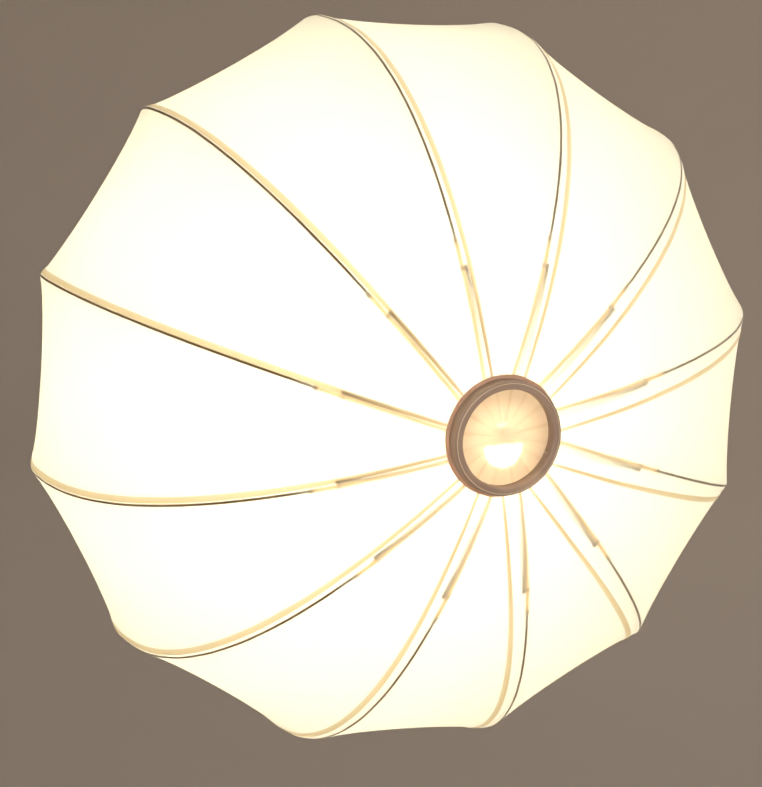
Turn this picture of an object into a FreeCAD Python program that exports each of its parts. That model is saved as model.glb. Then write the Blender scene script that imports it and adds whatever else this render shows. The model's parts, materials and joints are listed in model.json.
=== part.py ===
"""Deep translucent studio umbrella on a twelve-rib folding frame.

The shaft lies along Y. The domed front of the canopy points to -Y and its open back to +Y.
The origin is on the shaft's axis, at the middle of the stretch that a lamp's umbrella socket clamps.
All sizes are in millimetres.

Each rib's linkage is drawn flat, in a rib frame: x outward from the shaft, y rearward from the
plane of the crown pivots, and z sideways along the hinge pins. place() turns it to its azimuth.
"""
import FreeCAD, Part
import math
import os

Vec = FreeCAD.Vector
AXIS_X = Vec(1, 0, 0)
AXIS_Y = Vec(0, 1, 0)
AXIS_Z = Vec(0, 0, 1)
ORIGIN = Vec(0, 0, 0)

# ---- driving dimensions ------------------------------------------------------------------------
RIBS = 12
RIB_STEP = 360.0 / RIBS
FIRST_AZIMUTH = 21.2        # of rib 1, from +Z towards +X
DOME_RADIUS = 325.0         # along a rib, at the widest place
DOME_HEIGHT = 239.0         # from the widest place forward to the crown pivots
DOME_POWER = 2.45           # superellipse power of the front of a rib
SKIRT_DEPTH = 195.0         # semi-axis of the ellipse behind the widest place
HEM_ANGLE = 116.0           # where the cloth ends, measured along the rib from the axis
TIP_ANGLE = 118.5           # where the rod ends
RIB_OFFSET = 9.0            # ribs lie beside the radial planes by this much

PIVOT_X = 30.0              # crown and runner pivots, equal so that the runner stays on the shaft
ELBOW_SHARE = 0.5           # elbow's distance outward, as a share of DOME_RADIUS
ELBOW_DROP = 2.6            # elbow pin below the rib's line, so that the clevis clears the cloth
STRETCHER_REACH = 110.0     # crown pivot to stretcher joint, and stretcher joint to runner pivot
FOLDED_ARM_ANGLE = 4.0      # arm to shaft when folded; the rods then lie close to the shaft

CLAMP_LENGTH = 120.0        # stretch of shaft for the lamp's socket
CLAMP_CENTRE = 540.0        # behind the crown pivots
SHAFT_RADIUS = 4.0
SHAFT_BORE = 2.4
KEYWAY_FLOOR = 3.2          # height of the keyway's floor above the axis
KEYWAY_WIDTH = 2.2

PIN_RADIUS = 1.1
RUNNING = 0.05              # radial clearance of a turning joint
HEAD_RADIUS = 1.7           # rivets
HEAD_THICK = 0.6

ARM_THICK = 3.2
ARM_HALF_HEIGHT = 1.8
ARM_EYE = 2.4
CLEVIS_GAP = 1.7
CLEVIS_DEPTH = 3.0          # slot behind the elbow pin
ROD_RADIUS = 1.1
ROD_EYE_THICK = 1.4
ROD_MERGE = 6.0             # degrees past the elbow where the rod joins the rib's line
ROD_SPANS = 7
FLAT_LENGTH = 4.5           # flattened stretch between the eye and the round rod
TIP_RADIUS = 2.2
STRETCHER_THICK = 2.6
STRETCHER_HALF_HEIGHT = 1.9
STRETCHER_EYE = 2.6
SIDE_GAP = 0.4              # between an arm and its stretcher
STRETCHER_Z = RIB_OFFSET - (ARM_THICK + STRETCHER_THICK) / 2 - SIDE_GAP

CROWN_FRONT = -5.0          # front face of the carrier
CROWN_REAR = 8.0
CARRIER_RADIUS = 42.8
LOWER_WINDOW = (-9.0, 17.0)     # light windows: centre above the shaft's axis, and radius
UPPER_WINDOW = (6.0, 7.6)
CROWN_BAR = 14.0            # width of the bar between the two windows
RING_RADIUS = 48.0          # outer ring round the crown
RING_INNER = 40.8           # in front of the disc
RING_SKIRT_INNER = 43.2     # round the carrier
RING_FRONT = -15.5
RING_BASE = -2.6
RING_FLANGE = 51.2
RING_FLANGE_THICK = 1.6
DISC_THICK = 0.8
CLAMP_RING_FRONT = -1.25
CLAMP_RING_THICK = 0.9
SCREW_CIRCLE = 41.2
SCREW_RADIUS = 0.9
SCREW_HEAD_RADIUS = 1.5

CANOPY_THICK = 0.8
CANOPY_LIFT = 2.7           # cloth's middle above a rod's centre line
CANOPY_SAG = 6.0            # how far the cloth pulls in midway between ribs
CANOPY_SHOULDER = 0.6       # power of the sag's curve; under 1 rounds the cloth over a rib
CANOPY_INNER = 45.0         # cloth's inner edge, under the crown ring

RUNNER_RADIUS = 36.5
SLEEVE_RADIUS = 7.5
SLEEVE_LENGTH = 52.0
GRIP_RADIUS = 15.0


# ---- shape of a rib ----------------------------------------------------------------------------
def rib_point(angle):
    """Point of the rib's centre line, in the rib frame, at an angle from the axis in degrees."""
    a = math.radians(angle)
    if angle <= 90.0:
        power = 2.0 / DOME_POWER
        across = math.sin(a) ** power
        forward = DOME_HEIGHT * max(math.cos(a), 0.0) ** power
    else:
        across = math.sin(a)
        forward = SKIRT_DEPTH * math.cos(a)
    return Vec(DOME_RADIUS * across, DOME_HEIGHT - forward, 0)


def rib_tangent(angle):
    """Unit direction of the rib at that angle, from the crown towards the tip."""
    step = 0.05
    if abs(angle - 90.0) < 1.0:
        return Vec(0, 1, 0)
    return (rib_point(angle + step) - rib_point(angle - step)).normalize()


def outward(angle):
    """Unit normal of the rib, away from the inside of the dome."""
    along = rib_tangent(angle)
    return Vec(along.y, -along.x, 0)


def angle_at(across):
    """Angle at which the front of the rib is this far from the axis."""
    return math.degrees(math.asin((across / DOME_RADIUS) ** (DOME_POWER / 2.0)))


ELBOW_ANGLE = angle_at(ELBOW_SHARE * DOME_RADIUS)
CROWN_PIVOT = Vec(PIVOT_X, 0, 0)
ELBOW = rib_point(ELBOW_ANGLE) - outward(ELBOW_ANGLE) * ELBOW_DROP
ARM_DIRECTION = (ELBOW - CROWN_PIVOT).normalize()
ARM_ANGLE = math.degrees(math.atan2(ARM_DIRECTION.x, ARM_DIRECTION.y))
STRETCHER_JOINT = CROWN_PIVOT + ARM_DIRECTION * STRETCHER_REACH
RUNNER_PIVOT = Vec(PIVOT_X, 2 * STRETCHER_REACH * math.cos(math.radians(ARM_ANGLE)), 0)
FOLDED_RUNNER = 2 * STRETCHER_REACH * math.cos(math.radians(FOLDED_ARM_ANGLE))
RUNNER_TRAVEL = FOLDED_RUNNER - RUNNER_PIVOT.y


# ---- helpers -----------------------------------------------------------------------------------
def tube(radius, bore, start, length, axis=AXIS_Y, base=ORIGIN):
    """Round bar along an axis, hollow if bore is over 0."""
    at = base + axis * start
    body = Part.makeCylinder(radius, length, at, axis)
    if bore > 0:
        body = body.cut(Part.makeCylinder(bore, length, at, axis))
    return body


def pin_along_z(point, low, high, radius=PIN_RADIUS):
    """Round pin through a rib-frame point, from z low to z high."""
    return Part.makeCylinder(radius, high - low, Vec(point.x, point.y, low), AXIS_Z)


def flat_link(start, end, half_height, eye_start, eye_end, thick, middle):
    """Flat bar with a round eye at each end, in the rib frame."""
    along = end - start
    length = along.Length
    low = middle - thick / 2
    bar = Part.makeBox(length, 2 * half_height, thick, Vec(0, -half_height, low))
    bar.rotate(ORIGIN, AXIS_Z, math.degrees(math.atan2(along.y, along.x)))
    bar.translate(Vec(start.x, start.y, 0))
    for point, eye in ((start, eye_start), (end, eye_end)):
        bar = bar.fuse(Part.makeCylinder(eye, thick, Vec(point.x, point.y, low), AXIS_Z))
    return bar.removeSplitter()


def place(shape, rib):
    """Copy of a rib-frame shape, turned to a rib's azimuth; rib counts from 0."""
    copy = shape.copy()
    copy.rotate(ORIGIN, AXIS_Y, FIRST_AZIMUTH + rib * RIB_STEP - 90.0)
    return copy


def place_point(point, rib):
    turn = FreeCAD.Rotation(AXIS_Y, FIRST_AZIMUTH + rib * RIB_STEP - 90.0)
    return turn.multVec(point)


def all_ribs(shape):
    return [place(shape, rib) for rib in range(RIBS)]


def save(name, *solids):
    """Writes one node, moved from the crown's frame to the part's own frame."""
    shape = solids[0].copy() if len(solids) == 1 else Part.makeCompound([s.copy() for s in solids])
    shape.translate(Vec(0, -CLAMP_CENTRE, 0))
    shape.exportStep(f"parts/{name}.step")
    print(f"{name:18s} solids {len(shape.Solids):3d} volume {shape.Volume:10.1f} valid {shape.isValid()}")


def arc_through(start, direction, end):
    """Arc that leaves start in a direction and arrives at end."""
    chord = end - start
    middle = (start + end) * 0.5
    side = direction - chord * (direction.dot(chord) / chord.dot(chord))
    if side.Length < 1e-6:
        return Part.LineSegment(start, end).toShape()
    turn = direction.getAngle(chord)
    rise = chord.Length / 2 * math.tan(turn / 2)
    return Part.Arc(start, middle + side.normalize() * rise, end).toShape()


def smooth_path(points, directions):
    """Wire of tangent arcs, two from each point to the next."""
    edges = []
    for i in range(len(points) - 1):
        p0, p1, t0, t1 = points[i], points[i + 1], directions[i], directions[i + 1]
        chord = p1 - p0
        both = t0 + t1
        spread = 2 * (1 - t0.dot(t1))
        reach = chord.dot(chord) / (2 * chord.dot(both))
        if spread > 1e-9:
            root = math.sqrt(chord.dot(both) ** 2 + spread * chord.dot(chord))
            reach = (root - chord.dot(both)) / spread
        corner_a = p0 + t0 * reach
        corner_b = p1 - t1 * reach
        meet = (corner_a + corner_b) * 0.5
        edges.append(arc_through(p0, t0, meet))
        edges.append(arc_through(meet, (corner_b - corner_a).normalize(), p1))
    return Part.Wire(edges)


# ---- frame: ribs and stretchers ----------------------------------------------------------------
def rib_arm():
    """Inner half of a rib: moulded arm from the crown pivot to the clevis that holds the rod."""
    arm = flat_link(CROWN_PIVOT, ELBOW, ARM_HALF_HEIGHT, ARM_EYE, ARM_EYE, ARM_THICK, RIB_OFFSET)
    low = RIB_OFFSET - ARM_THICK
    high = RIB_OFFSET + ARM_THICK
    arm = arm.cut(pin_along_z(CROWN_PIVOT, low, high, PIN_RADIUS + RUNNING))
    arm = arm.cut(pin_along_z(STRETCHER_JOINT, low, high, PIN_RADIUS + RUNNING))
    arm = arm.cut(pin_along_z(ELBOW, low, high, PIN_RADIUS + RUNNING))
    slot = Part.makeBox(4 * CLEVIS_DEPTH, 4 * ARM_EYE, CLEVIS_GAP)
    slot.translate(Vec(-CLEVIS_DEPTH, -2 * ARM_EYE, RIB_OFFSET - CLEVIS_GAP / 2))
    slot.rotate(ORIGIN, AXIS_Z, 90.0 - ARM_ANGLE)
    slot.translate(ELBOW)
    return arm.cut(slot)


def rib_rod():
    """Outer half of a rib: sprung steel rod with a flattened eye, its rivet and its tip."""
    middle = Vec(0, 0, RIB_OFFSET)
    pin = ELBOW + middle
    first = ELBOW_ANGLE + ROD_MERGE
    angles = [first + (TIP_ANGLE - first) * i / ROD_SPANS for i in range(ROD_SPANS + 1)]
    points = [rib_point(a) + middle for a in angles]
    directions = [rib_tangent(a) for a in angles]
    leave = (points[0] - pin).normalize()
    start = pin + leave * FLAT_LENGTH
    path = smooth_path([start] + points, [leave] + directions)
    section = Part.Wire(Part.makeCircle(ROD_RADIUS, start, leave))
    rod = path.makePipeShell([section], True, True)
    low = RIB_OFFSET - ROD_EYE_THICK / 2
    flat = Part.makeBox(FLAT_LENGTH, 2 * ROD_RADIUS, ROD_EYE_THICK, Vec(0, -ROD_RADIUS, low))
    flat.rotate(ORIGIN, AXIS_Z, math.degrees(math.atan2(leave.y, leave.x)))
    flat.translate(ELBOW)
    eye = Part.makeCylinder(ARM_EYE - 0.2, ROD_EYE_THICK, Vec(ELBOW.x, ELBOW.y, low), AXIS_Z)
    rod = rod.fuse([flat, eye]).cut(pin_along_z(ELBOW, low - 1, low + ROD_EYE_THICK + 1))
    tip = Part.makeSphere(TIP_RADIUS, points[-1] + directions[-1] * (TIP_RADIUS - 0.6))
    joint = headed_pin(ELBOW, RIB_OFFSET - ARM_THICK / 2, RIB_OFFSET + ARM_THICK / 2)
    return [rod, joint, tip.cut(rod)]


def headed_pin(point, low, high):
    """Rivet that is flush at z low and has a flat head just above z high."""
    start = high + 0.1
    body = pin_along_z(point, low, start + HEAD_THICK)
    return body.fuse(pin_along_z(point, start, start + HEAD_THICK, HEAD_RADIUS)).removeSplitter()


def stretcher():
    """Strut from the runner to the arm, with the rivet that joins it to the arm."""
    bar = flat_link(STRETCHER_JOINT, RUNNER_PIVOT, STRETCHER_HALF_HEIGHT, STRETCHER_EYE,
                    STRETCHER_EYE, STRETCHER_THICK, STRETCHER_Z)
    low = STRETCHER_Z - STRETCHER_THICK / 2
    bar = bar.cut(pin_along_z(STRETCHER_JOINT, low - 1, low + STRETCHER_THICK + 1))
    bar = bar.cut(pin_along_z(RUNNER_PIVOT, low - 1, low + STRETCHER_THICK + 1, PIN_RADIUS + RUNNING))
    joint = headed_pin(STRETCHER_JOINT, low, RIB_OFFSET + ARM_THICK / 2)
    return [bar, joint]


# ---- crown -------------------------------------------------------------------------------------
PIN_OVERHANG = 2.6          # how far a crown or runner pin goes into each cheek
SLOT_GAP = 0.1              # between a link and each cheek
SLOT_SIZE = 60.0            # long enough for a slot to leave the body it is cut from
EYE_ROOM = 0.4              # between a link's eye and the bottom of its slot
CROWN_BOSS_RADIUS = CROWN_BAR / 2
CROWN_BOSS_LENGTH = 20.0
SHAFT_FRONT = CROWN_FRONT + 3
CROSS_PIN_AT = 10.5         # behind the crown pivots, in the boss
DISC_FRONT = CROWN_FRONT - DISC_THICK
SCREW_GRIP = 6.0            # length of screw in the crown ring
SCREW_HEAD = 1.2
SCREW_SLOT_WIDTH = 0.5
SCREW_SLOT_DEPTH = 0.6
SCREW_START = 3.0           # degrees past rib 1, so that no screw meets an arm's slot
RIM_ROUND = 1.6


def crown_slot():
    """Space that one arm swings in, open outward and to the rear."""
    thick = ARM_THICK + 2 * SLOT_GAP
    start = Vec(PIVOT_X - ARM_EYE - EYE_ROOM, -ARM_EYE - EYE_ROOM, RIB_OFFSET - thick / 2)
    return Part.makeBox(SLOT_SIZE, SLOT_SIZE, thick, start)


def crown_pin():
    reach = ARM_THICK / 2 + SLOT_GAP + PIN_OVERHANG
    return pin_along_z(CROWN_PIVOT, RIB_OFFSET - reach, RIB_OFFSET + reach)


def crown_carrier():
    """Moulded body that holds the twelve arm pivots and the front end of the shaft."""
    depth = CROWN_REAR - CROWN_FRONT
    body = tube(CARRIER_RADIUS, 0, CROWN_FRONT, depth)
    bar = Part.makeBox(2 * CARRIER_RADIUS, depth, CROWN_BAR,
                       Vec(-CARRIER_RADIUS, CROWN_FRONT, -CROWN_BAR / 2))
    for centre, radius in (LOWER_WINDOW, UPPER_WINDOW):
        window = tube(radius, 0, CROWN_FRONT, depth, base=Vec(0, 0, centre))
        body = body.cut(window.cut(bar))
    body = body.fuse(tube(CROWN_BOSS_RADIUS, 0, CROWN_FRONT, CROWN_BOSS_LENGTH))
    body = body.cut(tube(SHAFT_RADIUS, 0, SHAFT_FRONT, CROWN_BOSS_LENGTH))
    body = body.cut(all_ribs(crown_slot()) + all_ribs(crown_pin()))
    body = body.cut(shaft_cross_pin())
    return body.cut(crown_screw_shanks())


def shaft_cross_pin():
    """Pin through the carrier's boss and the shaft."""
    reach = CROWN_BOSS_RADIUS - 0.5
    return Part.makeCylinder(PIN_RADIUS, 2 * reach, Vec(0, CROSS_PIN_AT, -reach), AXIS_Z)


def screw_places(along):
    """Centres of the four crown screws, at a place along the shaft."""
    angles = [math.radians(FIRST_AZIMUTH + SCREW_START + 90.0 * i) for i in range(4)]
    return [Vec(SCREW_CIRCLE * math.sin(a), along, SCREW_CIRCLE * math.cos(a)) for a in angles]


def crown_screw_shanks():
    start = DISC_FRONT - SCREW_GRIP
    return [Part.makeCylinder(SCREW_RADIUS, CROWN_REAR - start, at, AXIS_Y) for at in screw_places(start)]


def crown_screws():
    """Four small pan-head screws, driven from the rear."""
    screws = []
    for at, shank in zip(screw_places(CROWN_REAR), crown_screw_shanks()):
        head = Part.makeCylinder(SCREW_HEAD_RADIUS, SCREW_HEAD, at, AXIS_Y)
        slot = Part.makeBox(4 * SCREW_HEAD_RADIUS, SCREW_SLOT_DEPTH, SCREW_SLOT_WIDTH,
                            at + Vec(-2 * SCREW_HEAD_RADIUS, SCREW_HEAD - SCREW_SLOT_DEPTH,
                                     -SCREW_SLOT_WIDTH / 2))
        screws.append(head.cut(slot).fuse(shank))
    return screws


def crown_ring():
    """Ring that stands round the crown: thick wall, skirt round the carrier, and thin flange."""
    wall = tube(RING_RADIUS, RING_INNER, RING_FRONT, DISC_FRONT - RING_FRONT)
    rims = [e for e in wall.Edges if abs(e.CenterOfMass.y - RING_FRONT) < 0.01]
    wall = wall.makeFillet(RIM_ROUND, rims)
    skirt = tube(RING_RADIUS, RING_SKIRT_INNER, DISC_FRONT, RING_BASE - DISC_FRONT)
    flange = tube(RING_FLANGE, RING_SKIRT_INNER, RING_BASE - RING_FLANGE_THICK, RING_FLANGE_THICK)
    body = wall.fuse([skirt, flange]).removeSplitter()
    return body.cut(crown_screw_shanks())


def crown_disc():
    """Cloth disc behind the ring's opening."""
    disc = tube(CARRIER_RADIUS - 0.1, 0, DISC_FRONT, DISC_THICK)
    return disc.cut(crown_screw_shanks())


def canopy_clamp_ring():
    """Steel ring that presses the cloth's inner edge against the crown ring."""
    return tube(RING_RADIUS - 0.8, RING_SKIRT_INNER + 0.2, CLAMP_RING_FRONT, CLAMP_RING_THICK)


# ---- shaft -------------------------------------------------------------------------------------
SHAFT_END = CLAMP_CENTRE + CLAMP_LENGTH / 2
GROOVE_WIDTH = 2.0
GROOVE_DEPTH = 0.4
CAP_RADIUS = 3.6
CAP_LENGTH = 6.0
CAP_PLUG = 14.0
CAP_ROUND = 2.5
SLEEVE_FRONT = RUNNER_PIVOT.y - 3.2
STOP_START = SLEEVE_FRONT + SLEEVE_LENGTH + RUNNER_TRAVEL + 3.0
STOP_LENGTH = 6.0
STOP_RADIUS = SHAFT_RADIUS + 3
KEYWAY_START = CROWN_REAR + 10


def shaft():
    """Steel tube from the crown to the lamp's socket, with a keyway for the runner's latch."""
    body = tube(SHAFT_RADIUS, SHAFT_BORE, SHAFT_FRONT, SHAFT_END - SHAFT_FRONT)
    keyway = Part.makeBox(KEYWAY_WIDTH, STOP_START - KEYWAY_START, SHAFT_RADIUS,
                          Vec(-KEYWAY_WIDTH / 2, KEYWAY_START, KEYWAY_FLOOR))
    groove_at = CLAMP_CENTRE - CLAMP_LENGTH / 2 - GROOVE_WIDTH
    groove = tube(SHAFT_RADIUS + 1, SHAFT_RADIUS - GROOVE_DEPTH, groove_at, GROOVE_WIDTH)
    return body.cut([keyway, groove, shaft_cross_pin()])


def shaft_end_cap():
    """Domed plastic cap plugged into the rear end of the shaft."""
    head = tube(CAP_RADIUS, 0, SHAFT_END, CAP_LENGTH)
    rim = [e for e in head.Edges if abs(e.CenterOfMass.y - SHAFT_END - CAP_LENGTH) < 0.01]
    head = head.makeFillet(CAP_ROUND, rim)
    return head.fuse(tube(SHAFT_BORE, 0, SHAFT_END - CAP_PLUG, CAP_PLUG)).removeSplitter()


def runner_stop_ring():
    """Collar that ends the runner's travel when the frame is folded."""
    return tube(STOP_RADIUS, SHAFT_RADIUS, STOP_START, STOP_LENGTH)


# ---- runner ------------------------------------------------------------------------------------
FLANGE_START = RUNNER_PIVOT.y - 3.4
FLANGE_LENGTH = 9.0
RUNNER_WINDOW = 23.0
RUNNER_BAR = 12.0
BAR_DEPTH = 6.0             # of the runner's cross bar, along the shaft
BAR_MERGE = 1.0             # how far the cross bar runs into the rim
RUNNER_BOSS_LENGTH = 13.0
GRIP_START = RUNNER_PIVOT.y + 12.0
GRIP_LENGTH = 30.0
GRIP_GROOVES = 18
GROOVE_RADIUS = 1.2
GROOVE_OUT = 0.6            # centre of a grip groove, outside the grip's surface
GRIP_ROUND = 1.5
POCKET_END = 2.0            # wall of the grip at each end of the lever's pocket
LEVER_SIDE = 0.3            # gap at each side of the lever and of its tooth
LEVER_PIVOT = Vec(0, GRIP_START + 10.0, 12.5)
LEVER_WIDTH = 5.0
LEVER_LENGTH = 23.0
LEVER_HALF_THICK = 1.6
LEVER_LOW = LEVER_PIVOT.z - LEVER_HALF_THICK
LEVER_FRONT = GRIP_START + 3.0
LEVER_PIN = 1.0
LEVER_PIN_LENGTH = LEVER_WIDTH + 8
LEVER_HUB = 2.4
PAD_LENGTH = 9.0
PAD_HEIGHT = 4.2
PAD_START = 14.0            # behind the lever's front end
PAD_ROUND = 1.0
TOOTH_WIDTH = 1.8
TOOTH_LENGTH = 3.0
TOOTH_LOW = KEYWAY_FLOOR + 0.2
TOOTH_HOLE_LENGTH = 5.0
SPRING_BASE = SLEEVE_RADIUS + 0.05
SPRING_BACK = 20.0          # behind the grip's front end
SPRING_RADIUS = 1.6
SPRING_BORE = 1.1


def runner_slot():
    """Space that one stretcher swings in, open outward and to the front."""
    thick = STRETCHER_THICK + 2 * SLOT_GAP
    room = STRETCHER_EYE + EYE_ROOM
    start = Vec(PIVOT_X - room, RUNNER_PIVOT.y + room - SLOT_SIZE, STRETCHER_Z - thick / 2)
    return Part.makeBox(SLOT_SIZE, SLOT_SIZE, thick, start)


def runner_pin():
    reach = STRETCHER_THICK / 2 + SLOT_GAP + PIN_OVERHANG
    return pin_along_z(RUNNER_PIVOT, STRETCHER_Z - reach, STRETCHER_Z + reach)


def runner_flange():
    """Moulded ring with twelve notches for the stretchers, carried by a cross bar."""
    body = tube(RUNNER_RADIUS, RUNNER_WINDOW, FLANGE_START, FLANGE_LENGTH)
    reach = RUNNER_WINDOW + BAR_MERGE
    bar = Part.makeBox(2 * reach, BAR_DEPTH, RUNNER_BAR,
                       Vec(-reach, FLANGE_START + FLANGE_LENGTH - BAR_DEPTH, -RUNNER_BAR / 2))
    boss = tube(SLEEVE_RADIUS + 3, 0, FLANGE_START, RUNNER_BOSS_LENGTH)
    body = body.fuse([bar, boss])
    body = body.cut(tube(SLEEVE_RADIUS, 0, FLANGE_START, RUNNER_BOSS_LENGTH))
    return body.cut(all_ribs(runner_slot()) + all_ribs(runner_pin()))


def latch_pocket():
    """Pocket in the grip that the latch lever rocks in."""
    half = LEVER_WIDTH / 2 + LEVER_SIDE
    return Part.makeBox(2 * half, GRIP_LENGTH - 2 * POCKET_END, 2 * GRIP_RADIUS,
                        Vec(-half, GRIP_START + POCKET_END, 0))


def lever_pin(radius=LEVER_PIN):
    start = LEVER_PIVOT - AXIS_X * (LEVER_PIN_LENGTH / 2)
    return Part.makeCylinder(radius, LEVER_PIN_LENGTH, start, AXIS_X)


def runner_grip():
    """Ribbed hand grip round the sleeve, with the latch's pocket."""
    body = tube(GRIP_RADIUS, SLEEVE_RADIUS, GRIP_START, GRIP_LENGTH)
    rims = [e for e in body.Edges
            if abs(e.BoundBox.XLength - 2 * GRIP_RADIUS) < 0.1 and e.BoundBox.YLength < 0.1]
    body = body.makeFillet(GRIP_ROUND, rims)
    grooves = []
    for i in range(GRIP_GROOVES):
        angle = math.radians(60 + 240.0 * i / (GRIP_GROOVES - 1))
        reach = GRIP_RADIUS + GROOVE_OUT
        at = Vec(reach * math.sin(angle), GRIP_START + 4, reach * math.cos(angle))
        grooves.append(Part.makeCylinder(GROOVE_RADIUS, GRIP_LENGTH - 8, at, AXIS_Y))
    body = body.cut(grooves)
    return body.cut([latch_pocket(), lever_pin()])


def tooth_hole():
    """Hole in the sleeve under the lever's tooth."""
    half = TOOTH_WIDTH / 2 + LEVER_SIDE
    start = LEVER_FRONT - (TOOTH_HOLE_LENGTH - TOOTH_LENGTH) / 2
    return Part.makeBox(2 * half, TOOTH_HOLE_LENGTH, 2 * SLEEVE_RADIUS, Vec(-half, start, 0))


def runner_sleeve():
    """Low-friction sleeve that slides on the shaft."""
    body = tube(SLEEVE_RADIUS, SHAFT_RADIUS + 0.1, SLEEVE_FRONT, SLEEVE_LENGTH)
    return body.cut(tooth_hole())


def latch_lever():
    """Rocker: its tooth rides in the keyway and its pad is pressed to lift the tooth."""
    top = LEVER_PIVOT.z + LEVER_HALF_THICK
    side = -LEVER_WIDTH / 2
    beam = Part.makeBox(LEVER_WIDTH, LEVER_LENGTH, 2 * LEVER_HALF_THICK,
                        Vec(side, LEVER_FRONT, LEVER_LOW))
    pad = Part.makeBox(LEVER_WIDTH, PAD_LENGTH, PAD_HEIGHT, Vec(side, LEVER_FRONT + PAD_START, top))
    edges = [e for e in pad.Edges if abs(e.CenterOfMass.z - top - PAD_HEIGHT) < 0.01]
    pad = pad.makeFillet(PAD_ROUND, edges)
    hub = Part.makeCylinder(LEVER_HUB, LEVER_WIDTH, LEVER_PIVOT + AXIS_X * side, AXIS_X)
    tooth = Part.makeBox(TOOTH_WIDTH, TOOTH_LENGTH, LEVER_LOW - TOOTH_LOW,
                         Vec(-TOOTH_WIDTH / 2, LEVER_FRONT, TOOTH_LOW))
    body = beam.fuse([pad, hub, tooth]).removeSplitter()
    return body.cut(lever_pin(LEVER_PIN + RUNNING))


def latch_spring():
    """Small coil spring under the pad, as a closed sleeve of its outer shape."""
    base = Vec(0, GRIP_START + SPRING_BACK, SPRING_BASE)
    return tube(SPRING_RADIUS, SPRING_BORE, 0, LEVER_LOW - SPRING_BASE - 0.05, AXIS_Z, base)


# ---- canopy ------------------------------------------------------------------------------------
GORE_ROWS = 15
GORE_COLUMNS = 7


def gore_grid(lift):
    """Grid of points of the first gore, between rib 1 and rib 2, lifted off the rods."""
    inner = angle_at(CANOPY_INNER)
    rows = []
    for i in range(GORE_ROWS):
        share = i / (GORE_ROWS - 1.0)
        angle = inner + (HEM_ANGLE - inner) * share
        point = rib_point(angle) + outward(angle) * lift + Vec(0, 0, RIB_OFFSET)
        left = place_point(point, 0)
        right = place_point(point, 1)
        chord = right - left
        inward = place_point(rib_tangent(angle), 0.5).cross(chord).normalize()
        deep = CANOPY_SAG * math.sin(math.radians(angle)) ** 2
        row = []
        for j in range(GORE_COLUMNS):
            part = j / (GORE_COLUMNS - 1.0)
            curve = (4 * part * (1 - part)) ** CANOPY_SHOULDER
            row.append(left + chord * part + inward * (deep * curve))
        rows.append(row)
    return rows


def gore_surface(lift):
    surface = Part.BSplineSurface()
    surface.interpolate(gore_grid(lift))
    return surface


def canopy():
    """Twelve-gore cloth dome with its open back and its hole at the crown, as one closed shell."""
    outer = gore_surface(CANOPY_LIFT + CANOPY_THICK / 2)
    inner = gore_surface(CANOPY_LIFT - CANOPY_THICK / 2)
    gore = [outer.toShape(), inner.toShape()]
    crown_edge, hem_edge = outer.bounds()[:2]
    for u in (crown_edge, hem_edge):
        gore.append(Part.makeRuledSurface(outer.uIso(u).toShape(), inner.uIso(u).toShape()))
    faces = []
    for rib in range(RIBS):
        for face in gore:
            copy = face.copy()
            copy.rotate(ORIGIN, AXIS_Y, rib * RIB_STEP)
            faces.append(copy)
    solid = Part.makeSolid(Part.makeShell(faces))
    if solid.Volume < 0:
        solid.reverse()
    return solid


# ---- write every node --------------------------------------------------------------------------
def main():
    os.makedirs("parts", exist_ok=True)
    save("shaft", shaft())
    save("shaft_end_cap", shaft_end_cap())
    save("shaft_cross_pin", shaft_cross_pin())
    save("runner_stop_ring", runner_stop_ring())
    save("crown_carrier", crown_carrier())
    save("crown_ring", crown_ring())
    save("crown_disc", crown_disc())
    save("crown_screws", *crown_screws())
    save("crown_pins", *all_ribs(crown_pin()))
    save("canopy_clamp_ring", canopy_clamp_ring())
    save("canopy", canopy())
    save("runner_flange", runner_flange())
    save("runner_sleeve", runner_sleeve())
    save("runner_grip", runner_grip())
    save("runner_pins", *all_ribs(runner_pin()))
    save("latch_lever", latch_lever())
    save("latch_pin", lever_pin())
    save("latch_spring", latch_spring())
    arm, rod, strut = rib_arm(), rib_rod(), stretcher()
    for rib in range(RIBS):
        save(f"rib_arm_{rib + 1:02d}", place(arm, rib))
        save(f"rib_rod_{rib + 1:02d}", *[place(s, rib) for s in rod])
        save(f"stretcher_{rib + 1:02d}", *[place(s, rib) for s in strut])
    for label, value in (("elbow", ELBOW), ("stretcher joint", STRETCHER_JOINT),
                         ("runner pivot", RUNNER_PIVOT), ("lever pivot", LEVER_PIVOT),
                         ("arm angle", ARM_ANGLE), ("runner travel", RUNNER_TRAVEL),
                         ("spring base", SPRING_BASE)):
        print(label, value)


main()
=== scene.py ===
"""Looks of the deep translucent studio umbrella.

The shapes of the cloth repeat the dimensions of the CAD model. They are worked out in millimetres,
in the crown's frame, and to_row() turns them into metres in the part's own frame.
"""

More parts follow.
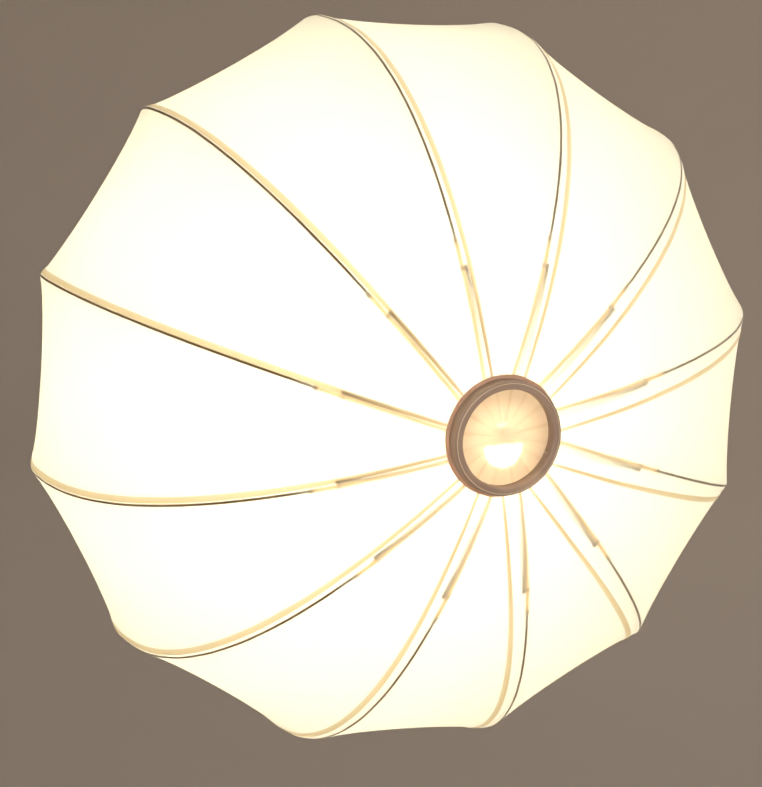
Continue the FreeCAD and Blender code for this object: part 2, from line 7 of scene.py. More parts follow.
import bpy
import json
import math
import numpy as np
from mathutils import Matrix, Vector


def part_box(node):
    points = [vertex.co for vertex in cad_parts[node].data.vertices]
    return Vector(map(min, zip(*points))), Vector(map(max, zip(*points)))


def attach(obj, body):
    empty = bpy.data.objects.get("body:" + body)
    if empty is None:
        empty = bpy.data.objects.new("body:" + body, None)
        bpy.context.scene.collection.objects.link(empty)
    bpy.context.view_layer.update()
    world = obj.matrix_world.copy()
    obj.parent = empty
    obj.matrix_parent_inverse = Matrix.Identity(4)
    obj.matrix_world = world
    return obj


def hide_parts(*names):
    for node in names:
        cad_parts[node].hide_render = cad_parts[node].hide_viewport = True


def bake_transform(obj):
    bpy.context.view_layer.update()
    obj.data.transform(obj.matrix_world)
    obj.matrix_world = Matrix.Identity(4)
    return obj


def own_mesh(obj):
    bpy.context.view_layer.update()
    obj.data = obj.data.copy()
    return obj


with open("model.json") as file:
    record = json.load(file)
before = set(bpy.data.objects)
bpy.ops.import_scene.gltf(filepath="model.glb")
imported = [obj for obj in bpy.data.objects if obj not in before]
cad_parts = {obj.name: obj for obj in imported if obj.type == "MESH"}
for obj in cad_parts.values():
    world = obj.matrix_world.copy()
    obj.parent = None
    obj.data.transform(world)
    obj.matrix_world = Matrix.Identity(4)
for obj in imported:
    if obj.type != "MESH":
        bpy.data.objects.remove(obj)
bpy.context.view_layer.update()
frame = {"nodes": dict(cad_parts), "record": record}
NODES = frame["nodes"]

# ---- dimensions shared with the CAD model --------------------------------------------------------
RIBS = 12
RIB_STEP = 2 * math.pi / RIBS
FIRST_AZIMUTH = math.radians(21.2)
DOME_RADIUS = 325.0
DOME_HEIGHT = 239.0
DOME_POWER = 2.45
SKIRT_DEPTH = 195.0
HEM_ANGLE = 116.0
RIB_OFFSET = 9.0
CLOTH_LIFT = 3.2
CLOTH_SAG = 6.8
CLOTH_SHOULDER = 0.52
CLAMP_CENTRE = 540.0
CLOTH_INNER = 45.0
ELBOW_ACROSS = 162.5


def to_row(p):
    """Points in the crown's frame, in millimetres, as points in the row frame, in metres."""
    return (np.asarray(p, float) + (0.0, -CLAMP_CENTRE, 0.0)) * 0.001


def radial(azimuth):
    return np.array([math.sin(azimuth), 0.0, math.cos(azimuth)])


def hinge(azimuth):
    """Direction of a rib's hinge pins."""
    return np.array([-math.cos(azimuth), 0.0, math.sin(azimuth)])


def rib_azimuth(k):
    return FIRST_AZIMUTH + k * RIB_STEP


def rib_point(angle):
    """How far outward and rearward a rib's centre line is, at an angle from the axis in degrees."""
    a = math.radians(angle)
    if angle <= 90.0:
        power = 2.0 / DOME_POWER
        return np.array([DOME_RADIUS * math.sin(a) ** power,
                         DOME_HEIGHT * (1 - max(math.cos(a), 0.0) ** power)])
    return np.array([DOME_RADIUS * math.sin(a), DOME_HEIGHT - SKIRT_DEPTH * math.cos(a)])


def rib_tangent(angle):
    if abs(angle - 90.0) < 1.0:
        return np.array([0.0, 1.0])
    step = rib_point(angle + 0.05) - rib_point(angle - 0.05)
    return step / np.linalg.norm(step)


def angle_at(across):
    return math.degrees(math.asin((across / DOME_RADIUS) ** (DOME_POWER / 2)))


ELBOW_ANGLE = angle_at(ELBOW_ACROSS)


# ---- node helpers --------------------------------------------------------------------------------
class Shader:
    """Small wrapper that adds and links nodes of one material."""

    def __init__(self, name):
        self.material = bpy.data.materials.new(name)
        self.material.use_nodes = True
        self.tree = self.material.node_tree
        self.tree.nodes.clear()
        self.out = self.add("ShaderNodeOutputMaterial")

    def add(self, kind, inputs=None, **settings):
        node = self.tree.nodes.new(kind)
        for name, value in settings.items():
            setattr(node, name, value)
        for name, value in (inputs or {}).items():
            self.put(node, name, value)
        return node

    def put(self, node, name, value):
        if isinstance(value, bpy.types.NodeSocket):
            self.tree.links.new(value, node.inputs[name])
        else:
            node.inputs[name].default_value = value

    def math(self, operation, a, b=0.0):
        return self.add("ShaderNodeMath", {0: a, 1: b}, operation=operation).outputs[0]

    def step(self, value, low, high, start=0.0, end=1.0):
        """Smooth step of a value."""
        node = self.add("ShaderNodeMapRange", {"Value": value, "From Min": low, "From Max": high,
                                               "To Min": start, "To Max": end},
                        interpolation_type="SMOOTHSTEP")
        return node.outputs["Result"]

    def attribute(self, name):
        return self.add("ShaderNodeAttribute", attribute_name=name).outputs["Fac"]

    def mix(self, share, a, b):
        node = self.add("ShaderNodeMix", data_type="RGBA")
        self.put(node, "Factor", share)
        for socket, value in ((node.inputs[6], a), (node.inputs[7], b)):
            if isinstance(value, bpy.types.NodeSocket):
                self.tree.links.new(value, socket)
            else:
                socket.default_value = value
        return node.outputs[2]

    def noise(self, scale, detail=3.0, roughness=0.5, stretch=None):
        vector = self.add("ShaderNodeTexCoord").outputs["Object"]
        if stretch is not None:
            vector = self.add("ShaderNodeMapping", {"Vector": vector, "Scale": stretch}).outputs[0]
        return self.add("ShaderNodeTexNoise", {"Vector": vector, "Scale": scale, "Detail": detail,
                                               "Roughness": roughness}).outputs["Fac"]

    def bump(self, height, strength, distance):
        return self.add("ShaderNodeBump", {"Height": height, "Strength": strength,
                                           "Distance": distance}).outputs["Normal"]

    def finish(self, surface):
        self.tree.links.new(surface, self.out.inputs["Surface"])
        return self.material


def rgb(r, g, b):
    return (r, g, b, 1.0)


# ---- materials -----------------------------------------------------------------------------------
WEAVE_PER_M = 5200.0        # radians of the weave's waves in a metre


def weave(s):
    """Height of a plain weave that follows the cloth's own grain."""
    grain = s.add("ShaderNodeAttribute", attribute_name="grain").outputs["Vector"]
    split = s.add("ShaderNodeSeparateXYZ", {0: grain})
    waves = []
    for axis in (0, 1):
        waves.append(s.math("SINE", s.math("MULTIPLY", split.outputs[axis], WEAVE_PER_M)))
    return s.math("MULTIPLY", s.math("MULTIPLY", waves[0], waves[1]), 0.35)


def cloth_material():
    """White diffusion cloth; the sewn layers let less and warmer light by, and painted shadow
    darkens it along the outer rods.
    """
    s = Shader("canopy_cloth")
    seam = s.attribute("seam")
    near_rod = s.math("SUBTRACT", 0.88, s.math("MULTIPLY", s.attribute("seam_side"), 0.22))
    in_seam = s.math("MULTIPLY", s.step(seam, 1.5, 3.5, 1.0, 0.0), near_rod)
    in_hem = s.step(s.attribute("hem"), 9.0, 10.4, 1.0, 0.0)
    in_crown = s.step(s.attribute("crown"), 2.0, 9.0, 1.0, 0.0)
    layers = s.math("MAXIMUM", s.math("MAXIMUM", in_seam, in_hem),
                    s.math("MULTIPLY", in_crown, 0.55))
    along = s.math("FRACT", s.math("MULTIPLY", s.attribute("along"), 0.36))
    dash = s.step(s.math("ABSOLUTE", s.math("SUBTRACT", along, 0.5)), 0.30, 0.36, 1.0, 0.0)
    line = s.step(s.math("ABSOLUTE", s.math("SUBTRACT", seam, 2.3)), 0.15, 0.32, 1.0, 0.0)
    stitch = s.math("MULTIPLY", dash, line)
    cloud = s.noise(9.0, 4.0, 0.55)
    slub = s.noise(140.0, 3.0, 0.6, stretch=(1.0, 6.0, 1.0))
    face = s.mix(cloud, rgb(0.80, 0.79, 0.755), rgb(0.88, 0.875, 0.85))
    face = s.mix(s.math("MULTIPLY", layers, 0.5), face, rgb(0.82, 0.79, 0.72))
    face = s.mix(s.math("MULTIPLY", stitch, 0.7), face, rgb(0.66, 0.62, 0.54))
    through = s.mix(cloud, rgb(0.86, 0.845, 0.80), rgb(0.92, 0.91, 0.88))
    through = s.mix(s.math("MULTIPLY", slub, 0.12), through, rgb(0.80, 0.77, 0.68))
    outer = s.step(s.attribute("along"), 10.0, 170.0)
    sewn = s.mix(outer, rgb(0.37, 0.25, 0.11), rgb(0.54, 0.43, 0.25))
    through = s.mix(layers, through, sewn)
    through = s.mix(s.math("MULTIPLY", stitch, 0.6), through, rgb(0.33, 0.25, 0.15))
    # Painted shadow: the cloth turns dark brown within about a millimetre of each outer rod, in
    # both face and through colours.
    at_rod = s.step(s.attribute("rib"), 0.5, 1.6, 1.0, 0.0)
    rod_shade = s.math("MULTIPLY", at_rod, s.attribute("rod_shadow_paint"))
    face = s.mix(s.math("MULTIPLY", rod_shade, 0.7), face, rgb(0.34, 0.22, 0.12))
    through = s.mix(rod_shade, through, rgb(0.36, 0.20, 0.06))
    height = s.math("ADD", weave(s), s.math("MULTIPLY", slub, 0.4))
    height = s.math("ADD", height, s.math("MULTIPLY", stitch, -1.2))
    normal = s.bump(height, 0.35, 0.0002)
    front = s.add("ShaderNodeBsdfPrincipled", {"Base Color": face, "Roughness": 0.86,
                                               "Sheen Weight": 0.25, "Sheen Roughness": 0.4,
                                               "Specular IOR Level": 0.25, "Normal": normal})
    back = s.add("ShaderNodeBsdfTranslucent", {"Color": through})
    mixed = s.add("ShaderNodeMixShader", {0: 0.55, 1: front.outputs[0], 2: back.outputs[0]})
    return s.finish(mixed.outputs[0])


def disc_material():
    """Cream lining cloth of the crown's disc, with painted shade along its pleats."""
    s = Shader("disc_cloth")
    fold = s.attribute("fold")
    cloud = s.noise(60.0, 4.0, 0.6)
    face = s.mix(cloud, rgb(0.87, 0.76, 0.62), rgb(0.93, 0.83, 0.70))
    # Painted shade: the fold attribute darkens face and through colours in the pleats' valleys.
    face = s.mix(s.math("MULTIPLY", fold, 0.35), face, rgb(0.70, 0.55, 0.42))
    through = s.mix(cloud, rgb(0.94, 0.83, 0.69), rgb(0.98, 0.89, 0.77))
    through = s.mix(s.math("MULTIPLY", fold, 0.5), through, rgb(0.78, 0.62, 0.44))
    normal = s.bump(weave(s), 0.4, 0.0002)
    front = s.add("ShaderNodeBsdfPrincipled", {"Base Color": face, "Roughness": 0.8,
                                               "Sheen Weight": 0.2, "Specular IOR Level": 0.3,
                                               "Normal": normal})
    back = s.add("ShaderNodeBsdfTranslucent", {"Color": through})
    mixed = s.add("ShaderNodeMixShader", {0: 0.5, 1: front.outputs[0], 2: back.outputs[0]})
    return s.finish(mixed.outputs[0])


def plastic(name, base, dark, roughness, strength=0.12, see=0.0, tint=None):
    """Moulded plastic with a fine grain and rubbed edges; see is how much light passes straight."""
    s = Shader(name)
    cloud = s.noise(35.0, 4.0, 0.6)
    fine = s.noise(900.0, 2.0, 0.6)
    worn = s.step(s.add("ShaderNodeNewGeometry").outputs["Pointiness"], 0.51, 0.56)
    colour = s.mix(cloud, dark, base)
    colour = s.mix(s.math("MULTIPLY", worn, 0.35), colour,
                   rgb(*[min(1.0, c * 1.35 + 0.03) for c in base[:3]]))
    rough = s.math("ADD", s.math("MULTIPLY", cloud, 0.18), roughness - 0.09)
    body = s.add("ShaderNodeBsdfPrincipled", {"Base Color": colour, "Roughness": rough,
                                              "Normal": s.bump(fine, strength, 0.0003)})
    if not see:
        return s.finish(body.outputs[0])
    glow = s.add("ShaderNodeBsdfTranslucent", {"Color": colour})
    milky = s.add("ShaderNodeMixShader", {0: 0.5, 1: body.outputs[0], 2: glow.outputs[0]})
    clear = s.add("ShaderNodeBsdfTransparent", {"Color": tint})
    mixed = s.add("ShaderNodeMixShader", {0: see, 1: milky.outputs[0], 2: clear.outputs[0]})
    return s.finish(mixed.outputs[0])


def ring_material():
    """Milky brown plastic of the crown ring, with a painted highlight line round its front rim."""
    s = Shader("crown_ring_plastic")
    place = s.add("ShaderNodeTexCoord").outputs["Object"]
    split = s.add("ShaderNodeSeparateXYZ", {0: place})
    across = s.math("SQRT", s.math("ADD", s.math("POWER", split.outputs[0], 2.0),
                                   s.math("POWER", split.outputs[2], 2.0)))
    # Painted highlight: a pale thin line at 46.1 mm from the axis, on the ring's front only.
    off_rim_highlight = s.math("ABSOLUTE", s.math("SUBTRACT", across, 0.0461))
    at_front = s.step(split.outputs[1], -0.5546, -0.5538, 1.0, 0.0)
    line = s.math("MULTIPLY", s.step(off_rim_highlight, 0.0002, 0.0005, 1.0, 0.0), at_front)
    cloud = s.noise(28.0, 4.0, 0.6)
    streak = s.noise(16.0, 3.0, 0.6, stretch=(1.0, 6.0, 1.0))
    colour = s.mix(cloud, rgb(0.43, 0.34, 0.29), rgb(0.57, 0.46, 0.395))
    colour = s.mix(s.step(streak, 0.52, 0.70), colour, rgb(0.66, 0.53, 0.44))
    flange = s.step(across, 0.0483, 0.0487)
    colour = s.mix(s.math("MULTIPLY", flange, 0.6), colour, rgb(0.86, 0.62, 0.52))
    # the painted highlight line goes on top of every other colour
    colour = s.mix(line, colour, rgb(0.92, 0.84, 0.72))
    body = s.add("ShaderNodeBsdfPrincipled", {"Base Color": colour, "Roughness": 0.34,
                                              "Normal": s.bump(s.noise(900.0), 0.12, 0.0003)})
    glow = s.add("ShaderNodeBsdfTranslucent", {"Color": colour})
    mixed = s.add("ShaderNodeMixShader", {0: 0.45, 1: body.outputs[0], 2: glow.outputs[0]})
    return s.finish(mixed.outputs[0])


def metal(name, base, roughness, stretch=(1.0, 60.0, 1.0), tarnish=None):
    """Drawn or turned metal with fine lines and slight tarnish."""
    s = Shader(name)
    lines = s.noise(60.0, 4.0, 0.6, stretch=stretch)
    cloud = s.noise(45.0, 4.0, 0.6)
    colour = s.mix(s.step(cloud, 0.45, 0.75), base, tarnish or rgb(*[c * 0.72 for c in base[:3]]))
    rough = s.math("ADD", s.math("MULTIPLY", lines, 0.22), roughness - 0.1)
    body = s.add("ShaderNodeBsdfPrincipled", {"Base Color": colour, "Metallic": 1.0,
                                              "Roughness": rough,
                                              "Normal": s.bump(lines, 0.12, 0.0002)})
    return s.finish(body.outputs[0])


CLOTH = cloth_material()
DISC_CLOTH = disc_material()
FINISHES = {
    "crown_ring_plastic": ring_material(),
    "pale_plastic": plastic("pale_plastic", rgb(0.88, 0.85, 0.79), rgb(0.82, 0.78, 0.71), 0.42,
                            see=0.3, tint=rgb(1.0, 0.92, 0.80)),
    "sleeve_plastic": plastic("sleeve_plastic", rgb(0.82, 0.81, 0.77), rgb(0.72, 0.71, 0.67), 0.36),
    "grip_plastic": plastic("grip_plastic", rgb(0.045, 0.045, 0.048), rgb(0.028, 0.028, 0.03), 0.55,
                            strength=0.3),
    "cap_rubber": plastic("cap_rubber", rgb(0.04, 0.04, 0.04), rgb(0.025, 0.025, 0.025), 0.7,
                          strength=0.25),
    "rod_steel": metal("rod_steel", rgb(0.16, 0.10, 0.06), 0.38, tarnish=rgb(0.09, 0.055, 0.03)),
    "arm_plastic": plastic("arm_plastic", rgb(0.78, 0.62, 0.38), rgb(0.66, 0.50, 0.28), 0.38,
                           see=0.74, tint=rgb(0.95, 0.80, 0.55)),
    "stretcher_steel": metal("stretcher_steel", rgb(0.60, 0.59, 0.57), 0.34),
    "bright_steel": metal("bright_steel", rgb(0.70, 0.69, 0.67), 0.25),
    "shaft_steel": metal("shaft_steel", rgb(0.62, 0.62, 0.63), 0.27, stretch=(1.0, 2.0, 60.0)),
}


def finish_cad_nodes():
    for part in frame["record"]["subparts"]:
        slot = part["material_slot"]
        if slot in FINISHES:
            mesh = NODES[part["node"]].data
            mesh.materials.clear()
            mesh.materials.append(FINISHES[slot])


# ---- mesh helpers --------------------------------------------------------------------------------
def link_object(name, data):
    """Object with this data, in the scene."""
    thing = bpy.data.objects.new(name, data)
    bpy.context.scene.collection.objects.link(thing)
    return thing


def make_piece(name, points, faces, material, values):
    """Piece from points in the crown's frame, with float attributes and the cloth's grain."""
    mesh = bpy.data.meshes.new(name)
    mesh.from_pydata([tuple(p) for p in to_row(points)], [], faces)
    mesh.update()
    mesh.polygons.foreach_set("use_smooth", [True] * len(mesh.polygons))
    for key, data in values.items():
        data = np.asarray(data, np.float32)
        if data.ndim == 1:
            mesh.attributes.new(key, "FLOAT", "POINT").data.foreach_set("value", data)
        else:
            attribute = mesh.attributes.new(key, "FLOAT_VECTOR", "POINT")
            attribute.data.foreach_set("vector", data.ravel())
    mesh.materials.append(material)
    piece = link_object(name, mesh)
    return piece


# ---- canopy --------------------------------------------------------------------------------------
ROW_GAP = 5.0               # along the rib
FINE_SIDE = 26.0            # finer columns this far to the seam's side of a rib
CORNER_ROUND = 3.4          # the cloth bends over the rod, not at a line
SHOULDER_EASE = 0.05
HEM_FOLD = 10.0
HEM_INSIDE = 0.7            # the folded layer of the hem, under the outer one
COLLAR_END = 76.0
SEAM_RAISE = 0.45           # seam allowance, on the outside
SEAM_HALF = 3.4
SEAM_EDGE = 0.7             # half the slope at each edge of a seam
SEAM_NARROW = 0.5           # share of a seam's full width at the crown
SEAM_FULL = 190.0           # length along the rib at which it has its full width


def ease_in(share):
    """Smooth rise from 0 to 1."""
    share = min(max(share, 0.0), 1.0)
    return share * share * (3 - 2 * share)


def seam_offset(angle, k):
    """How far round from rib k its seam lies: nearest at the hem, and less on the upper left."""
    inner = 1.0 - min(max((angle - 18.0) / 84.0, 0.0), 1.0)
    lean = math.cos(rib_azimuth(k) - math.radians(112.0))
    return 4.5 + (7.0 + 8.0 * lean) * inner ** 0.8


def painted_rod_shadow(angle, k):
    """How strongly painted shadow darkens the cloth along rod k: it rises near the elbow, holds out
    to the hem and is varied round the dome; none along the arms.
    """
    rise = ease_in((angle - ELBOW_ANGLE + 2.0) / 8.0)
    return rise * (0.62 - 0.33 * math.sin(rib_azimuth(k)))


def corner(angle, k, lift):
    tangent = rib_tangent(angle)
    x, y = rib_point(angle) + lift * np.array([tangent[1], -tangent[0]])
    return x * radial(rib_azimuth(k)) + np.array([0, y, 0]) + RIB_OFFSET * hinge(rib_azimuth(k))


def half_gore(angle, k, side, share, lift):
    """Point between rib k, at share 0, and the middle of the gore beside it, at share 1.

    Also gives its distance from the rib and the direction inward. Neighbouring strips work out the
    middle of their gore in the same way, so that they meet exactly.
    """
    if share == 1 and side < 0:
        return half_gore(angle, k - 1, 1, 1, lift)
    here, there = corner(angle, k, lift), corner(angle, k + side, lift)
    chord = there - here
    middle_azimuth = rib_azimuth(k + side * 0.5)
    tangent = rib_tangent(angle)
    along = tangent[0] * radial(middle_azimuth) + np.array([0, tangent[1], 0])
    inward = side * np.cross(along, chord)
    inward /= np.linalg.norm(inward)
    part = share / 2
    deep = CLOTH_SAG * math.sin(math.radians(angle)) ** 2
    width = np.linalg.norm(chord)
    reach = part * width
    corner_slope = math.tan(RIB_STEP / 2) * math.sin(math.radians(angle))
    ease = corner_slope * (math.hypot(reach, CORNER_ROUND) - reach)
    curve = math.hypot(4 * part * (1 - part), SHOULDER_EASE) ** CLOTH_SHOULDER
    curve -= SHOULDER_EASE ** CLOTH_SHOULDER
    return here + chord * part + inward * (deep * curve + ease * 0.8), reach, inward


def seam_distance(angle, k, side, reach, width):
    """Signed distance round the dome to the nearest seam; under 0 on the side of the rod."""
    position = side * reach
    found = position - seam_offset(angle, k)
    for step in (-1, 1):
        other = position - step * width - seam_offset(angle, k + step)
        if abs(other) < abs(found):
            found = other
    return found


def column_shares(width, side):
    """Shares of half a gore, finer where the seam runs."""
    half = width / 2
    fine = min(FINE_SIDE if side > 0 else 7.0, 0.62 * half)
    count, rest = (18, 9) if side > 0 else (5, 13)
    near = [fine * i / count for i in range(count)]
    far = [fine + (half - fine) * i / rest for i in range(rest + 1)]
    return [x / half for x in near + far]


def row_angles(start, end):
    """Angles along the rib, evenly spaced in length, from one angle to another."""
    fine = np.linspace(start, end, 400)
    points = np.array([rib_point(a) for a in fine])
    length = np.concatenate([[0], np.cumsum(np.linalg.norm(np.diff(points, axis=0), axis=1))])
    count = max(3, int(round(length[-1] / ROW_GAP)))
    return np.interp(np.linspace(0, length[-1], count + 1), length, fine)


def along_rib(angle):
    """Length along the rib from the cloth's inner edge, for stitches and grain."""
    return float(np.interp(angle, ALONG_ANGLES, ALONG_LENGTHS))


ALONG_ANGLES = np.linspace(angle_at(CLOTH_INNER), HEM_ANGLE, 600)
ALONG_LENGTHS = np.concatenate([[0], np.cumsum(np.linalg.norm(
    np.diff(np.array([rib_point(a) for a in ALONG_ANGLES]), axis=0), axis=1))])
FULL_LENGTH = ALONG_LENGTHS[-1]


def strip(k, start, end, hem=False):
    """Cloth from mid-gore to mid-gore over rib k, between two angles along the rib."""
    angles = row_angles(start, end)
    rows = [(a, CLOTH_LIFT) for a in angles]
    if hem:
        fold = [a for a in angles if FULL_LENGTH - along_rib(a) < HEM_FOLD + 1]
        rows += [(a, CLOTH_LIFT - HEM_INSIDE) for a in reversed(fold[:-1])]
    points = []
    values = {key: [] for key in ("seam", "seam_side", "hem", "crown", "along", "grain", "rib",
                                  "rod_shadow_paint")}
    for angle, lift in rows:
        width = np.linalg.norm(corner(angle, k + 1, lift) - corner(angle, k, lift))
        cells = [(-1, s) for s in reversed(column_shares(width, -1)[1:])]
        cells += [(1, s) for s in column_shares(width, 1)]
        columns = len(cells)
        along = along_rib(angle)
        for side, share in cells:
            point, reach, inward = half_gore(angle, k, side, share, lift)
            taper = SEAM_NARROW + (1 - SEAM_NARROW) * min(along / SEAM_FULL, 1.0)
            seam = seam_distance(angle, k, side, reach, width) / taper
            edge = ease_in((SEAM_HALF + SEAM_EDGE - abs(seam)) / (2 * SEAM_EDGE))
            raised = SEAM_RAISE * edge
            ripple = math.sin(along * 0.16 + k * 1.7) * math.sin(seam * 0.23 + k)
            fade = math.exp(-(abs(seam) / 14.0) ** 2) * min(along / 30.0, 1.0) * (1 - share)
            point = point - inward * (raised + 0.16 * ripple * fade)
            points.append(point)
            values["seam"].append(abs(seam))
            values["seam_side"].append(min(max(seam / 5.0, -1.0), 1.0))
            values["hem"].append(FULL_LENGTH - along)
            values["crown"].append(along)
            values["along"].append(along)
            values["grain"].append((side * reach * 0.001, along * 0.001, 0.0))
            values["rib"].append(reach)
            # strength of the painted shadow along the rod at this row
            values["rod_shadow_paint"].append(painted_rod_shadow(angle, k))
    faces = []
    for r in range(len(rows) - 1):
        for c in range(columns - 1):
            a = r * columns + c
            faces.append((a, a + 1, a + columns + 1, a + columns))
    return np.array(points), faces, values


def declare_sheet(start, end, hem):
    """Works out the flat size of one strip as it would be cut, a twelfth of the way round at every
    place, and keeps nothing of it.
    """
    angles = np.linspace(start, end, 400)
    lengths = np.array([along_rib(a) for a in angles])
    widths = np.array([RIB_STEP * rib_point(a)[0] for a in angles])
    area = float(np.sum((widths[1:] + widths[:-1]) / 2 * np.diff(lengths)))
    length = float(lengths[-1] - lengths[0])
    if hem:
        area += HEM_FOLD * float(widths[-1])
        length += HEM_FOLD


def build_canopy():
    inner_angle = angle_at(CLOTH_INNER)
    collar_angle = angle_at(COLLAR_END)
    for k in range(RIBS):
        label = f"{k + 1:02d}"
        arm, rod = f"arm_{label}", f"rod_{label}"
        parts = (("collar", inner_angle, collar_angle, False),
                 ("inner", collar_angle, ELBOW_ANGLE, False),
                 ("outer", ELBOW_ANGLE, HEM_ANGLE, True))
        for kind, start, end, hem in parts:
            points, faces, values = strip(k, start, end, hem)
            piece = make_piece(f"canopy_{kind}_{label}", points, faces, CLOTH,
                               values)
            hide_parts("canopy")
            if kind == "collar":
                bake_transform(piece)
                declare_sheet(start, end, hem)
                continue
            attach(piece, arm if kind == "inner" else rod)
            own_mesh(piece)
            declare_sheet(start, end, hem)


# ---- crown disc and latch spring -----------------------------------------------------------------
DISC_RADIUS = 42.6
DISC_PLEATS = 16


def build_disc():
    """Round of lining cloth, gathered into soft radial pleats towards its middle."""
    rings, spokes = 34, 240
    points, faces, fold, grain = [np.array([0.0, -5.55, 0.0])], [], [0.0], [(0.0, 0.0, 0.0)]
    for i in range(1, rings + 1):
        r = DISC_RADIUS * i / rings
        for j in range(spokes):
            a = 2 * math.pi * j / spokes
            wave = math.cos(DISC_PLEATS * a + 0.7 * math.sin(3 * a))
            fade = min(r / 12.0, 1.0) * min(max((40.0 - r) / 14.0, 0.0), 1.0)
            height = -5.45 - 0.16 * wave * fade - 0.12 * math.cos(r / DISC_RADIUS * math.pi / 2)
            points.append(np.array([r * math.sin(a), height, r * math.cos(a)]))
            # Painted shade, deepest in each pleat's valley, kept in the fold attribute.
            pleat_shade = max(0.0, -wave) ** 4 * min(r / 14.0, 1.0)
            fold.append(pleat_shade * (0.75 + 0.25 * math.sin(5.0 * a + 1.0)))
            grain.append((r * math.sin(a) * 0.001, r * math.cos(a) * 0.001, 0.0))
    for j in range(spokes):
        faces.append((0, 1 + j, 1 + (j + 1) % spokes))
    for i in range(rings - 1):
        for j in range(spokes):
            a, b = 1 + i * spokes + j, 1 + i * spokes + (j + 1) % spokes
            faces.append((a, a + spokes, b + spokes, b))
    piece = make_piece("crown_disc_cloth", np.array(points), faces, DISC_CLOTH,
                       {"fold": fold, "grain": grain})
    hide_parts("crown_disc")
    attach(piece, "root")


def build_spring():
    """Coil under the latch pad; the real spring shortens as the pad is pressed, but this coil keeps
    one length.
    """
    low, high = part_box("latch_spring")
    centre, turns, wire, radius = (low + high) / 2, 4.0, 0.00022, 0.00135
    steps, ring = 120, 8
    points, faces = [], []
    for i in range(steps + 1):
        a = 2 * math.pi * turns * i / steps
        z = low.z + wire + (high.z - low.z - 2 * wire) * i / steps
        for j in range(ring):
            b = 2 * math.pi * j / ring
            reach = radius + wire * math.cos(b)
            points.append((centre.x + reach * math.cos(a), centre.y + reach * math.sin(a),
                           z + wire * math.sin(b)))
    for i in range(steps):
        for j in range(ring):
            a, b = i * ring + j, i * ring + (j + 1) % ring
            faces.append((a, b, b + ring, a + ring))
    faces += [tuple(reversed(range(ring))), tuple(steps * ring + j for j in range(ring))]
    mesh = bpy.data.meshes.new("latch_coil")
    mesh.from_pydata(points, [], faces)
    mesh.polygons.foreach_set("use_smooth", [True] * len(mesh.polygons))
    mesh.materials.append(FINISHES["bright_steel"])
    piece = link_object("latch_coil", mesh)
    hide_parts("latch_spring")
    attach(piece, "runner")
    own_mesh(piece)


# ---- stage, lights and camera --------------------------------------------------------------------
FLOOR = -1.35
SWEEP_START = 5.2
SWEEP = 1.6
WALL_TOP = 5.0


def build_stage():
    """Pale floor that sweeps up into a wall all round, like a studio cove."""
    profile = [(0.02, FLOOR), (1.0, FLOOR), (2.5, FLOOR), (SWEEP_START, FLOOR)]
    for i in range(1, 13):
        a = math.pi / 2 * i / 12
        profile.append((SWEEP_START + SWEEP * math.sin(a), FLOOR + SWEEP * (1 - math.cos(a))))
    profile.append((SWEEP_START + SWEEP, WALL_TOP))
    spokes = 96
    points, faces = [], []
    for r, z in profile:
        for j in range(spokes):
            a = 2 * math.pi * j / spokes
            points.append((r * math.sin(a), -0.3 + r * math.cos(a), z))
    for i in range(len(profile) - 1):
        for j in range(spokes):
            a, b = i * spokes + j, i * spokes + (j + 1) % spokes
            faces.append((a, b, b + spokes, a + spokes))
    faces.append(tuple(range(spokes)))
    mesh = bpy.data.meshes.new("studio_cove")
    mesh.from_pydata(points, [], faces)
    mesh.polygons.foreach_set("use_smooth", [True] * len(mesh.polygons))
    s = Shader("pale_studio_paint")
    cloud = s.noise(1.3, 3.0, 0.5)
    colour = s.mix(cloud, rgb(0.66, 0.59, 0.52), rgb(0.70, 0.63, 0.56))
    body = s.add("ShaderNodeBsdfPrincipled", {"Base Color": colour, "Roughness": 0.95,
                                              "Specular IOR Level": 0.1,
                                              "Normal": s.bump(s.noise(80.0), 0.05, 0.002)})
    mesh.materials.append(s.finish(body.outputs[0]))
    link_object("studio_cove", mesh)


def add_light(name, kind, place, target, energy, colour, **settings):
    data = bpy.data.lights.new(name, kind)
    data.energy = energy
    data.color = colour
    for key, value in settings.items():
        setattr(data, key, value)
    light = link_object(name, data)
    light.location = place
    aim = Vector(target) - Vector(place)
    light.rotation_euler = aim.to_track_quat("-Z", "Y").to_euler()
    light.visible_camera = False


WARM = (1.0, 0.91, 0.66)


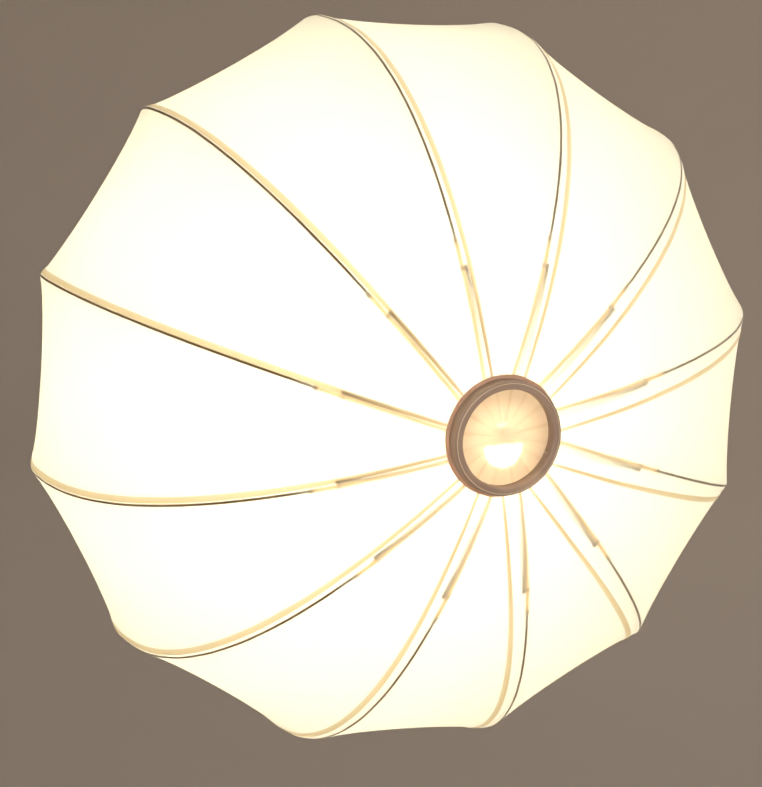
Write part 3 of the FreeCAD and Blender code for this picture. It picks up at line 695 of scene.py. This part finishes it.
def build_lights():
    add_light("dome_lamp", "AREA", (-0.018, -0.24, 0.012), (-0.085, -0.6, 0.02), 2.85, WARM,
              shape="DISK", size=0.09)
    add_light("dome_fill", "POINT", (-0.018, -0.265, 0.0), (0, -1, 0), 2.75, WARM,
              shadow_soft_size=0.04)
    add_light("crown_lamp", "AREA", (0.0, -0.512, -0.015), (0.0, -0.56, -0.010), 0.05, WARM,
              shape="DISK", size=0.02)
    add_light("crown_upper", "AREA", (0.0, -0.514, 0.013), (0.0, -0.56, 0.010), 0.008, WARM,
              shape="DISK", size=0.008)
    add_light("crown_front", "SPOT", (-0.12, -1.10, 0.10), (0.0, -0.55, 0.0), 14.0,
              (1.0, 0.87, 0.70), spot_size=math.radians(11.5), spot_blend=0.35,
              shadow_soft_size=0.03)
    add_light("key", "AREA", (4.2, -2.4, 2.6), (0.0, -0.3, 0.0), 76.0, (1.0, 0.92, 0.83), size=2.5)
    add_light("wall", "AREA", (4.1, 2.4, 2.8), (3.4, 6.6, 1.7), 34.0, (1.0, 0.91, 0.82), size=2.5)
    add_light("fill", "AREA", (-3.0, -3.2, 2.2), (0.0, -0.3, 0.0), 8.0, (1.0, 0.95, 0.90), size=3.0)
    add_light("back", "AREA", (2.4, 3.6, 2.8), (0.0, -0.3, 0.0), 11.0, (1.0, 0.94, 0.88), size=2.5)
    world = bpy.data.worlds.new("studio")
    world.use_nodes = True
    background = world.node_tree.nodes["Background"]
    background.inputs["Color"].default_value = rgb(1.0, 0.93, 0.86)
    background.inputs["Strength"].default_value = 0.16
    bpy.context.scene.world = world


CAMERA_AZIMUTH = -23.57
CAMERA_ELEVATION = 13.14
CAMERA_DISTANCE = 2.55
CAMERA_LENS = 130.78651     # millimetres, for a sensor of 36 mm along the frame's long side
SENSOR = 36.0
AIM_LEFT = 0.00222969       # metres from the centre of the dome's widest plane, as it is seen
AIM_DOWN = 0.0159646


def build_camera():
    a, e = math.radians(CAMERA_AZIMUTH), math.radians(CAMERA_ELEVATION)
    back = Vector((math.sin(a) * math.cos(e), -math.cos(a) * math.cos(e), math.sin(e)))
    down = -Vector((-math.sin(a) * math.sin(e), math.cos(a) * math.sin(e), math.cos(e)))
    widest = Vector(to_row((0.0, DOME_HEIGHT, 0.0)))
    right = Vector((math.cos(a), math.sin(a), 0.0))
    aim = widest + down * AIM_DOWN - right * AIM_LEFT
    data = bpy.data.cameras.new("camera")
    data.sensor_width = SENSOR
    data.lens = CAMERA_LENS
    data.clip_start, data.clip_end = 0.05, 60.0
    camera = link_object("camera", data)
    camera.location = aim + back * CAMERA_DISTANCE
    camera.rotation_mode = "QUATERNION"
    camera.rotation_quaternion = (-back).to_track_quat("-Z", "Y")
    bpy.context.scene.camera = camera


bpy.context.scene.view_settings.view_transform = "Standard"
build_camera()
finish_cad_nodes()
build_canopy()
build_disc()
build_spring()
build_stage()
build_lights()
